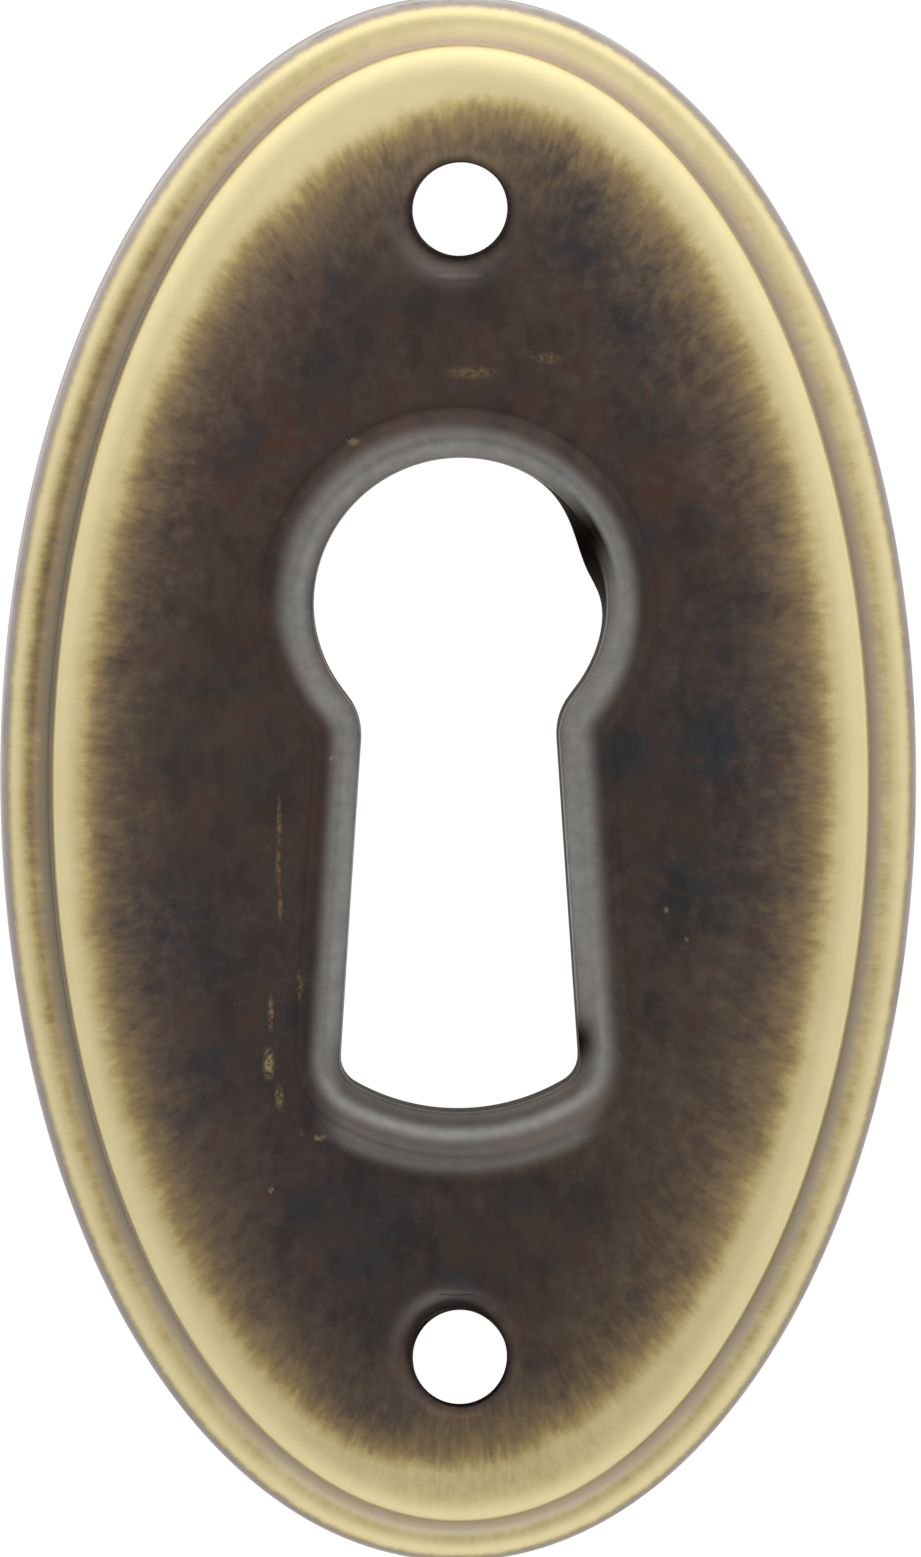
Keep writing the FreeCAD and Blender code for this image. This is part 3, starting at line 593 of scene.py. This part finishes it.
# Painted shade, where little light reaches: the walls of the holes, the edge that the knock has pressed
# in, a nick at the foot of the slot, and softly the lip's root and the drawn edges of the pin holes.
touching = 0.001                # nearer than this to the keyhole's edge, a point is on its wall
is_back = np.concatenate(behind)
patina = np.where(is_back, 1.0, patina)
burnish_and_painted_light = np.where(is_back, 0.0, burnish_and_painted_light)
from_pin = np.hypot(place_x, np.abs(place_y) - pin_rise / mm)
in_hole = (from_hole < touching) | (from_pin < pin_radius / mm + 0.01)
nick_shadow = spot(2.95, -6.2, 0.34, 0.6) * (from_hole < 0.5)
pressed_edge_shadow = bump(round_turn, 28, 17) * np.clip((0.34 - from_hole) / 0.14, 0, 1) * (place_y > 0)
root_shade = 0.15 * bump(from_hole, whole_lip + 0.1 + 0.72 * on_foot, 0.2) * (from_hole < 3)
pin_shade = 0.6 * (1 - soft_step(from_pin, 1.17, 1.42))
face_shade = np.max([nick_shadow, pressed_edge_shadow, root_shade, pin_shade], axis=0)
key_wall_shade = 0.65 + 0.35 * bump(round_turn, 25, 25) * (place_y > 0)
wall_shade = np.where(from_hole < touching, key_wall_shade, 1.0)
# hollow holds all the painted shade, on the faces and on the walls of the holes.
hollow = np.where(is_back & in_hole, wall_shade, face_shade)

# The rim's wall is dull brass under its patina. The cut edge against the wood, like the back of the
# sheet, is bare and matte.
on_rim = np.arange(len(vertices)) < first_row["groove"] * columns
wall_top_z = (bead_height - 0.9 * bead_round) / mm
on_wall = on_rim * np.clip((wall_top_z - place_z) / 0.35, 0, 1)
wall_patina = 0.64
patina = patina + on_wall * (wall_patina - patina)
dull_and_shade = dull_and_shade * (1 - 0.55 * on_wall)
cut_edge = on_rim * np.clip((0.35 - place_z) / 0.15, 0, 1)
matte = np.maximum(np.where(is_back, 1.0, 0.0), cut_edge)

# Clouds in the patina: middle, radius, and how blue, red and golden each one is.
clouds = [
    (4.5, 11.2, 2.0, 0.5, 0, 0), (6.3, 1.2, 1.6, 1.0, 0, 0), (6.1, -2.2, 1.6, 0.9, 0, 0),
    (-6.4, -3.4, 1.7, 1.0, 0, 0), (-2.0, -10.9, 2.2, 0.9, 0, 0), (3.2, 13.2, 1.4, 0.5, 0, 0),
    (-5.0, 8.0, 3.2, 0, 0.7, 0), (1.0, 10.6, 2.6, 0, 0.8, 0.3), (5.4, 6.8, 2.2, 0, 0.7, 0),
    (-5.2, 3.4, 1.8, 0, 0.8, 0), (5.4, -0.5, 1.0, 0, 0.9, 0), (-4.6, -1.2, 2.2, 0, 0.5, 0.2),
    (-6.9, 4.2, 2.2, 0, 0, 0.5), (-7.0, 0.8, 2.0, 0, 0, 0.5), (2.6, -12.6, 2.4, 0, 0.2, 0.5),
    (4.0, -8.6, 2.6, 0, 0.1, 0.5),
]
tints = np.zeros((len(vertices), 3))
for cloud_x, cloud_y, cloud_radius, *tint in clouds:
    tints += spot(cloud_x, cloud_y, cloud_radius, cloud_radius)[:, None] * np.array(tint)


def store(name, kind, field_name, values):
    """Keeps one value for each point of the mesh, for the finish to read."""
    layer = mesh.attributes.new(name, kind, "POINT")
    layer.data.foreach_set(field_name, np.ascontiguousarray(values, np.float32).ravel())


store("rubbing", "FLOAT_VECTOR", "vector", np.stack([rubbed_x, rubbed_y, inward], axis=1))
store("tints", "FLOAT_VECTOR", "vector", tints)
for layer_name, layer_values in (
        ("patina", patina), ("burnish_and_painted_light", burnish_and_painted_light), ("hollow", hollow), ("dull_and_shade", dull_and_shade),
        ("grey", grey), ("matte", matte), ("painted_light", painted_light)):
    store(layer_name, "FLOAT", "value", layer_values)

# The finish: brass, darkened all over in a bath, rubbed bright on its high parts, and lacquered.
brass = bpy.data.materials.new("antique_brass")
brass.use_nodes = True
tree = brass.node_tree          # put() adds to this one, until the studio's own takes its place


def put(kind, sockets, output=0, **settings):
    """A shader node: its settings, then its sockets, where an output is linked and a value is set."""
    node = tree.nodes.new(kind)
    for name, value in settings.items():
        setattr(node, name, value)
    for socket, value in sockets.items():
        if isinstance(value, bpy.types.NodeSocket):
            tree.links.new(value, node.inputs[socket])
        else:
            node.inputs[socket].default_value = value
    return node.outputs[output]


def maths(operation, first, second=0.0, clamp=False):
    """One sum on two numbers, held between 0 and 1 where clamp is set."""
    return put("ShaderNodeMath", {0: first, 1: second}, operation=operation, use_clamp=clamp)


def plus(first, second, clamp=False):
    """Both numbers added."""
    return maths("ADD", first, second, clamp)


def times(first, second, clamp=False):
    """Both numbers multiplied."""
    return maths("MULTIPLY", first, second, clamp)


def opposite(value):
    """One minus the value."""
    return maths("SUBTRACT", 1.0, value)


def swing(noise, strength):
    """Noise about zero: a half taken off it, times a strength."""
    return times(maths("SUBTRACT", noise, 0.5), strength)


def halfway(value):
    """Four times the value times its opposite, which is 1 at a half and 0 at both ends."""
    return times(times(value, opposite(value)), 4.0)


def alike(value):
    """One number as all three parts of a vector, so as a grey."""
    return put("ShaderNodeCombineXYZ", {0: value, 1: value, 2: value})


def stored(name, output="Fac"):
    """What store() kept under a name, between the mesh's points by their nearness."""
    return put("ShaderNodeAttribute", {}, output, attribute_name=name)


def grain(vector, scale, detail=2.0, roughness=0.5):
    """Noise with so many lumps to a unit of length. Each finer layer is roughness times as strong."""
    return put("ShaderNodeTexNoise",
               {"Vector": vector, "Scale": scale, "Detail": detail, "Roughness": roughness}, "Fac")


def stretched(vector, scale):
    """A place times its own scale each way, so that noise on it is finer where that is larger."""
    return put("ShaderNodeMapping", {"Vector": vector, "Scale": scale})


def eased(value, low, high, new_low=0.0, new_high=1.0):
    """From a new low at low to a new high at high, by the cubic that is level at both ends."""
    return put("ShaderNodeMapRange",
               {"Value": value, "From Min": low, "From Max": high, "To Min": new_low, "To Max": new_high},
               interpolation_type="SMOOTHSTEP")


def mixed(share, first, second, blend="MIX"):
    """The first colour with a share of the second over it, or times it where blend is MULTIPLY."""
    return put("ShaderNodeMix", {0: share, 6: first, 7: second}, 2, data_type="RGBA", blend_type=blend)


def ramp(value, stops):
    """A colour for a value, on straight lines between stops of a place and a colour."""
    colour_out = put("ShaderNodeValToRGB", {0: value})
    steps = colour_out.node.color_ramp.elements
    for place, colour in stops[1:-1]:
        steps.new(place).color = (*colour, 1)
    steps[0].position, steps[0].color = stops[0][0], (*stops[0][1], 1)
    steps[-1].position, steps[-1].color = stops[-1][0], (*stops[-1][1], 1)
    return colour_out


millimetres = stretched(put("ShaderNodeTexCoord", {}, "Object"), (1 / mm, 1 / mm, 1 / mm))
# Streaks run across the rubbed band: their noise is coarser inward than it is round the plate.
rubbing = stored("rubbing", "Vector")
streak_fine = grain(stretched(rubbing, (5.5, 5.5, 2.6)), 1.0, 4.0, 0.65)
streak_wide = grain(stretched(rubbing, (1.7, 1.7, 1.0)), 1.0, 2.0, 0.5)
mottle_small = grain(millimetres, 2.6, 4.0, 0.65)
mottle_large = grain(millimetres, 0.55, 3.0, 0.55)
speckle = grain(millimetres, 11.0, 2.0, 0.5)
blotch = grain(stretched(millimetres, (1.25, 0.75, 1.0)), 1.0, 3.0, 0.6)

# The streaks show where the patina is half rubbed off, and it is uneven everywhere.
patina_laid = stored("patina")
streaks = plus(swing(streak_fine, 0.42), swing(streak_wide, 0.28))
clouding = plus(swing(mottle_small, 0.13), swing(mottle_large, 0.14))
patina_here = plus(plus(patina_laid, times(streaks, halfway(patina_laid))), clouding)

# From bright brass through golden brown to a dark brown.
finish = ramp(patina_here, [
    (0.0, (0.83, 0.725, 0.41)),
    (0.1, (0.79, 0.68, 0.375)),
    (0.2, (0.742, 0.621, 0.328)),
    (0.3, (0.646, 0.529, 0.252)),
    (0.4, (0.546, 0.428, 0.192)),
    (0.5, (0.438, 0.325, 0.143)),
    (0.58, (0.354, 0.255, 0.121)),
    (0.66, (0.286, 0.202, 0.104)),
    (0.74, (0.228, 0.163, 0.093)),
    (0.82, (0.17, 0.122, 0.079)),
    (0.9, (0.118, 0.086, 0.066)),
    (1.0, (0.061, 0.046, 0.042)),
])
# The oxide, with painted shade in the crease by the riser and painted light in its grey.
dull_and_shade_laid = stored("dull_and_shade")
dull_and_shade_here = plus(dull_and_shade_laid, swing(streak_fine, halfway(dull_and_shade_laid)), clamp=True)
oxide_grey_and_painted_light = stored("grey")
oxide_green = 0.89              # the oxide's green and blue, as shares of its red
oxide_blue = 0.82
oxide = put("ShaderNodeCombineXYZ", {
    0: oxide_grey_and_painted_light, 1: times(oxide_grey_and_painted_light, oxide_green), 2: times(oxide_grey_and_painted_light, oxide_blue)})
finish = mixed(dull_and_shade_here, finish, oxide)
# Painted light: the colour is brighter towards the head and the right, and on the crests.
finish = mixed(1.0, finish, alike(stored("painted_light")), "MULTIPLY")

# The clouds in the darkest patina: red, blue and golden, broken up by noise. Some red and blue ones
# also lie loose, wherever a larger noise is low or high, and pale specks lie over them.
red_cloud = (0.085, 0.044, 0.03, 1)
blue_cloud = (0.043, 0.046, 0.052, 1)
golden_cloud = (0.085, 0.066, 0.045, 1)
pale_speck = (0.15, 0.12, 0.1, 1)
deep = eased(patina_here, 0.7, 1.0)
broken = eased(mottle_small, 0.32, 0.62)
blue_part, red_part, golden_part = put("ShaderNodeSeparateXYZ", {0: stored("tints", "Vector")}).node.outputs
placed_red = times(times(red_part, deep), times(broken, 0.7))
placed_blue = times(times(blue_part, deep), times(broken, 0.75))
placed_gold = times(times(golden_part, deep), times(broken, 0.6))
loose_red = times(eased(blotch, 0.5, 0.34), times(deep, 0.55))
loose_blue = times(eased(mottle_large, 0.54, 0.68), times(deep, 0.5))
specks = times(eased(speckle, 0.66, 0.8), times(deep, 0.2))
finish = mixed(plus(placed_red, loose_red, clamp=True), finish, red_cloud)
finish = mixed(plus(placed_blue, loose_blue, clamp=True), finish, blue_cloud)
finish = mixed(placed_gold, finish, golden_cloud)
finish = mixed(specks, finish, pale_speck)

# Small marks of use: golden scratches and rubs where the patina is gone. Each is an ellipse round a
# place in millimetres, with its half width, half length and strength, broken up by noise.
scratched_brass = (0.34, 0.25, 0.11, 1)
mark_size = 0.7                 # the measure of a mark at its half sizes
mark_whole = 0.3                # nearer than this it is whole
mark_gone = 1.2
marks = [
    (-4.38, -0.8, 0.05, 0.45, 0.5), (-4.4, -1.9, 0.05, 0.4, 0.45), (-4.36, -2.9, 0.05, 0.3, 0.4),
    (-3.9, -4.85, 0.06, 0.3, 0.5), (-4.6, -5.5, 0.06, 0.35, 0.55), (-4.65, -6.75, 0.1, 0.3, 1.0),
    (-4.4, -7.55, 0.08, 0.22, 0.8), (-3.4, -8.55, 0.14, 0.06, 0.8), (-4.6, -9.8, 0.05, 0.06, 0.8),
    (-3.85, -8.4, 0.05, 0.06, 0.6), (5.0, -3.05, 0.05, 0.08, 0.7), (5.5, -3.75, 0.05, 0.06, 0.6),
    (5.0, 12.9, 0.06, 0.05, 0.7), (0.3, 10.05, 0.5, 0.12, 0.35), (2.1, 10.4, 0.3, 0.1, 0.35),
    (-2.6, 8.4, 0.14, 0.08, 0.45), (-3.08, 0.72, 0.09, 0.05, 1.0),
]
rubbed = 0.0
for mark_x, mark_y, half_across, half_along, strength in marks:
    narrowing = (mark_size / half_across, mark_size / half_along, 0)
    offset = put("ShaderNodeVectorMath", {0: millimetres, 1: (mark_x, mark_y, 0)}, operation="SUBTRACT")
    offset = put("ShaderNodeVectorMath", {0: offset, 1: narrowing}, operation="MULTIPLY")
    away = put("ShaderNodeVectorMath", {0: offset}, "Value", operation="LENGTH")
    rubbed = plus(rubbed, eased(away, mark_gone, mark_whole, 0.0, strength))
rubbed = times(rubbed, eased(grain(millimetres, 9.0, 3.0, 0.6), 0.35, 0.6), clamp=True)
finish = mixed(rubbed, finish, scratched_brass)
shadow = opposite(times(eased(blotch, 0.46, 0.66), times(deep, 0.2)))
finish = mixed(1.0, finish, alike(shadow), "MULTIPLY")

# The lip is burnished to a plain grey, which also carries painted highlights and shade. Matte metal is
# left bare, and painted shade makes the hollows nearly black.
lip_dark_grey = (0.25, 0.243, 0.232, 1)
lip_pale_grey = (0.31, 0.3, 0.287, 1)
bare_grey = (0.2, 0.178, 0.145, 1)
bare_brown = (0.15, 0.122, 0.085, 1)
shade_black = (0.012, 0.009, 0.008, 1)
matte_here = stored("matte")
painted_shade_here = stored("hollow")
burnish_and_light_here = times(stored("burnish_and_painted_light"), eased(streak_wide, 0.1, 0.4, 0.85, 1.0))
lip_grey = mixed(eased(mottle_small, 0.3, 0.7), lip_dark_grey, lip_pale_grey)
bare = mixed(eased(mottle_small, 0.36, 0.64), bare_grey, bare_brown)
finish = mixed(burnish_and_light_here, finish, lip_grey)
finish = mixed(matte_here, finish, bare)
finish = mixed(painted_shade_here, finish, shade_black)

# Oxide and bare metal are less like a mirror than the rest, and the painted shade also takes the glint
# and the lacquer off the hollows.
unshaded = opposite(painted_shade_here)
oxide_dullness = 0.7
lacquer = 0.15
metallic = times(opposite(times(matte_here, unshaded)), opposite(times(dull_and_shade_here, oxide_dullness)))
rough = plus(eased(patina_here, 0.1, 0.9, 0.42, 0.36), times(matte_here, 0.5))
unevenness = plus(times(streak_fine, 0.5), times(speckle, 0.35))
surface = put("ShaderNodeBump", {"Strength": 0.35, "Distance": 0.02 * mm, "Height": unevenness})

shader = tree.nodes["Principled BSDF"]
tree.links.new(finish, shader.inputs["Base Color"])
tree.links.new(metallic, shader.inputs["Metallic"])
tree.links.new(rough, shader.inputs["Roughness"])
tree.links.new(surface, shader.inputs["Normal"])
tree.links.new(alike(unshaded), shader.inputs["Specular Tint"])
tree.links.new(times(unshaded, lacquer), shader.inputs["Coat Weight"])
shader.inputs["Coat Roughness"].default_value = 0.2
mesh.materials.append(brass)

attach(plate, "root")
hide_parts(plate_name)


# The floor: a wide pale sheet of card that the plate lies on. It glows evenly, so that it shows white.

floor_half = 1.0
floor_drop = 0.01 * mm          # just clear of the rim's edge
floor_corners = [(-floor_half, -floor_half, -floor_drop), (floor_half, -floor_half, -floor_drop),
                 (floor_half, floor_half, -floor_drop), (-floor_half, floor_half, -floor_drop)]
floor_mesh = bpy.data.meshes.new("card")
floor_mesh.from_pydata(floor_corners, [], [(0, 1, 2, 3)])
card = bpy.data.materials.new("pale_card")
card.use_nodes = True
card_shader = card.node_tree.nodes["Principled BSDF"]
card_shader.inputs["Base Color"].default_value = (0.05, 0.05, 0.05, 1)
card_shader.inputs["Roughness"].default_value = 0.9
card_shader.inputs["Emission Color"].default_value = (1, 1, 1, 1)
card_shader.inputs["Emission Strength"].default_value = 0.98
floor_mesh.materials.append(card)
floor = bpy.data.objects.new("card", floor_mesh)
bpy.context.scene.collection.objects.link(floor)


# The studio: soft light from all round, strongest beyond the head of the plate. The camera is a
# little to the left and towards the head, and its stand darkens the light straight above.

towards = Vector((-0.055, 0.12, 1.0)).normalized()
aim = Vector((0.09 * mm, 0.02 * mm, 0.0))
lens = 300
sensor = 36
picture_height = 37.857 * mm    # what the picture takes in at the plate
camera_data = bpy.data.cameras.new("camera")
camera_data.lens = lens
camera_data.sensor_width = sensor
camera_data.clip_start = 0.01
camera_data.clip_end = 10
camera = bpy.data.objects.new("camera", camera_data)
bpy.context.scene.collection.objects.link(camera)
camera_right = Vector((0.0, 1.0, 0.0)).cross(towards).normalized()
facing = Matrix((camera_right, towards.cross(camera_right), towards)).transposed().to_4x4()
distance = picture_height * lens / sensor
camera.matrix_world = Matrix.Translation(aim + towards * distance) @ facing
bpy.context.scene.camera = camera

world = bpy.data.worlds.new("studio")
bpy.context.scene.world = world
world.use_nodes = True
tree = world.node_tree
side_light = 0.76
head_light = 0.62               # added towards the head
foot_light = 0.42               # added towards the foot, by the square of the nearness to it
stand_shade = 0.45              # taken off by the camera's stand
stand_width = math.radians(20)
low_light = 0.8                 # what is left of it all at the height of the floor
low_height = 0.35               # and up to where
direction = put("ShaderNodeTexCoord", {}, "Generated")
_, headward, upward = put("ShaderNodeSeparateXYZ", {0: direction}).node.outputs
to_head = times(maths("MAXIMUM", headward, 0.0), head_light)
to_foot = maths("MAXIMUM", times(headward, -1.0), 0.0)
all_round = plus(side_light, plus(to_head, times(times(to_foot, to_foot), foot_light)))
# The stand's shade is a bell over the angle from the camera, by the cosine of that angle.
nearness = put("ShaderNodeVectorMath", {0: direction, 1: towards}, "Value", operation="DOT_PRODUCT")
off_stand = times(maths("SUBTRACT", nearness, 1.0), 2 / stand_width ** 2)
shade = times(maths("EXPONENT", off_stand), stand_shade)
light = times(all_round, opposite(shade))
light = times(light, eased(upward, 0.0, low_height, low_light, 1.0))
background = tree.nodes["Background"]
background.inputs["Color"].default_value = (1, 1, 1, 1)
tree.links.new(light, background.inputs["Strength"])
bpy.context.scene.view_settings.view_transform = "Standard"
